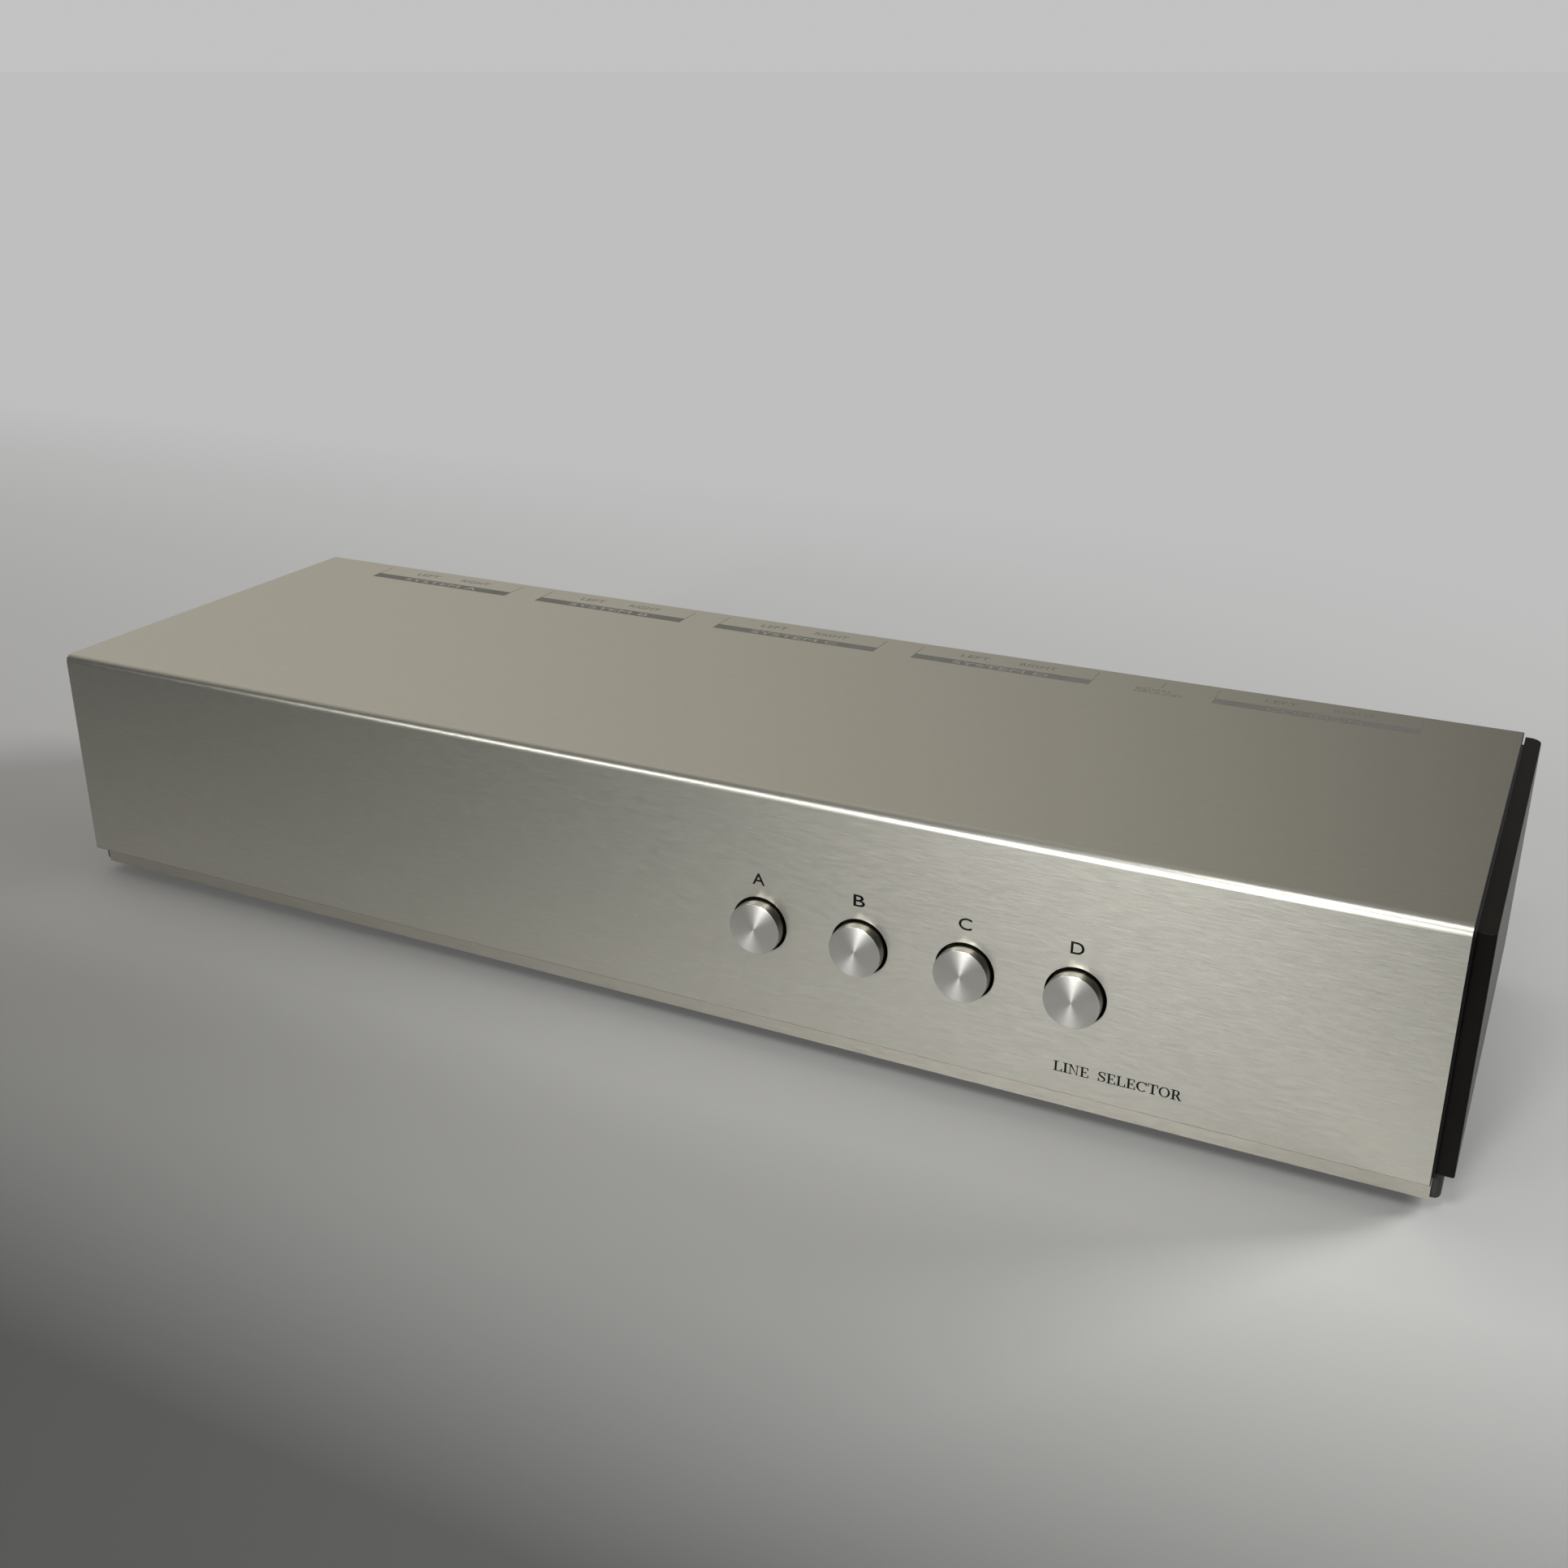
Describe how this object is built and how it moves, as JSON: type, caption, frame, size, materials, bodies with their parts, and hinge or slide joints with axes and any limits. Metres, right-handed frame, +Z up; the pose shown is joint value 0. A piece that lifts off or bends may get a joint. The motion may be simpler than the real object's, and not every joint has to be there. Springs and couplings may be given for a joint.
{
  "type": "line selector",
  "caption": "Low full-width audio line selector: bent brushed-metal front and top, dark side cheeks, round push buttons, rear phono sockets and a signal ground terminal.",
  "frame": {"origin": "on the surface that the feet stand on, under the middle of the bounding box", "axes": "+X to the right seen from the front, +Y from the front to the rear, +Z up"},
  "size_m": [0.438, 0.1478, 0.0788],
  "materials": {
    "brushed_front_metal": "lengthwise brushed, warm anodised",
    "dark_cheek": "satin, dark anodised",
    "black_sheet": "fine-textured black paint",
    "black_screws": "blackened",
    "foot_rubber": "matte",
    "plated_sheet": "zinc plated",
    "plated_fasteners": "zinc plated",
    "button_metal": "spun face, satin side",
    "plunger_plastic": "moulded",
    "contact_metal": "silver plated",
    "spring_wire": "drawn wire",
    "housing_plastic": "moulded",
    "board": "paper-laminate printed board",
    "gold_plate": "gold plated",
    "white_insulator": "moulded",
    "red_insulator": "moulded",
    "lead_jacket": "smooth jacket",
    "nickel_plate": "nickel plated"
  },
  "bodies": {
    "chassis": {"top_front_cover": "brushed_front_metal", "front_plinth_strip": "brushed_front_metal", "right_cheek": "dark_cheek", "left_cheek": "dark_cheek", "base_pan": "black_sheet", "rear_panel": "black_sheet", "right_side_plate": "black_sheet", "left_side_plate": "black_sheet", "base_pan_screws": "black_screws", "rear_panel_screws": "black_screws", "foot_screws": "black_screws", "rubber_feet": "foot_rubber", "front_subpanel": "plated_sheet", "switch_frame": "plated_sheet", "cover_stud_nuts": "plated_fasteners", "cheek_screws": "plated_fasteners", "frame_screws": "plated_fasteners", "switch_standoffs": "plated_fasteners", "switch_frame_screws": "plated_fasteners", "jack_nuts": "plated_fasteners", "return_spring_a": "spring_wire", "switch_housing_a": "housing_plastic", "return_spring_b": "spring_wire", "switch_housing_b": "housing_plastic", "return_spring_c": "spring_wire", "switch_housing_c": "housing_plastic", "return_spring_d": "spring_wire", "switch_housing_d": "housing_plastic", "switch_terminals": "contact_metal", "switch_board": "board", "jack_board": "board", "system_a_jacks": "gold_plate", "system_b_jacks": "gold_plate", "system_c_jacks": "gold_plate", "system_d_jacks": "gold_plate", "common_jacks": "gold_plate", "jack_centre_contacts": "gold_plate", "left_jack_insulators": "white_insulator", "right_jack_insulators": "red_insulator", "signal_leads": "lead_jacket", "ground_post": "nickel_plate"},
    "button_a": {"button_cap_a": "button_metal", "plunger_a": "plunger_plastic", "contact_clip_a": "contact_metal"},
    "latch_a": {"latch_pin_a": "spring_wire"},
    "button_b": {"button_cap_b": "button_metal", "plunger_b": "plunger_plastic", "contact_clip_b": "contact_metal"},
    "latch_b": {"latch_pin_b": "spring_wire"},
    "button_c": {"button_cap_c": "button_metal", "plunger_c": "plunger_plastic", "contact_clip_c": "contact_metal"},
    "latch_c": {"latch_pin_c": "spring_wire"},
    "button_d": {"button_cap_d": "button_metal", "plunger_d": "plunger_plastic", "contact_clip_d": "contact_metal"},
    "latch_d": {"latch_pin_d": "spring_wire"},
    "terminal_washer": {"ground_washer": "nickel_plate"},
    "terminal_nut": {"ground_thumb_nut": "nickel_plate"}
  },
  "joints": [
    {"name": "press_a", "type": "slide", "parent": "chassis", "child": "button_a", "axis": [0, 1, 0], "range_m": [0, 0.0035], "stiffness_N_per_m": 400, "springref_m": -0.002, "deforming": ["return_spring_a"]},
    {"name": "press_b", "type": "slide", "parent": "chassis", "child": "button_b", "axis": [0, 1, 0], "range_m": [0, 0.0035], "stiffness_N_per_m": 400, "springref_m": -0.002, "deforming": ["return_spring_b"]},
    {"name": "press_c", "type": "slide", "parent": "chassis", "child": "button_c", "axis": [0, 1, 0], "range_m": [0, 0.0035], "stiffness_N_per_m": 400, "springref_m": -0.002, "deforming": ["return_spring_c"]},
    {"name": "press_d", "type": "slide", "parent": "chassis", "child": "button_d", "axis": [0, 1, 0], "range_m": [0, 0.0035], "stiffness_N_per_m": 400, "springref_m": -0.002, "deforming": ["return_spring_d"]},
    {"name": "latch_swing_a", "type": "hinge", "parent": "chassis", "child": "latch_a", "pos_m": [0.0374, -0.03015, 0.0427], "axis": [0, 0, 1], "range_deg": [0, 9.83]},
    {"name": "latch_swing_b", "type": "hinge", "parent": "chassis", "child": "latch_b", "pos_m": [0.0669, -0.03015, 0.0427], "axis": [0, 0, 1], "range_deg": [0, 9.83]},
    {"name": "latch_swing_c", "type": "hinge", "parent": "chassis", "child": "latch_c", "pos_m": [0.0964, -0.03015, 0.0427], "axis": [0, 0, 1], "range_deg": [0, 9.83]},
    {"name": "latch_swing_d", "type": "hinge", "parent": "chassis", "child": "latch_d", "pos_m": [0.1259, -0.03015, 0.0427], "axis": [0, 0, 1], "range_deg": [0, 9.83]},
    {"name": "terminal_opening", "type": "slide", "parent": "chassis", "child": "terminal_washer", "axis": [0, 1, 0], "range_m": [0, 0.0049]},
    {"name": "terminal_nut_turn", "type": "hinge", "parent": "terminal_washer", "child": "terminal_nut", "pos_m": [0.112, 0.0665, 0.042], "axis": [0, 1, 0], "range_deg": [0, 2520]}
  ],
  "couplings": [
    {"joint": "terminal_nut_turn", "follows": "terminal_opening", "rad_per_m": 8975.9}
  ]
}
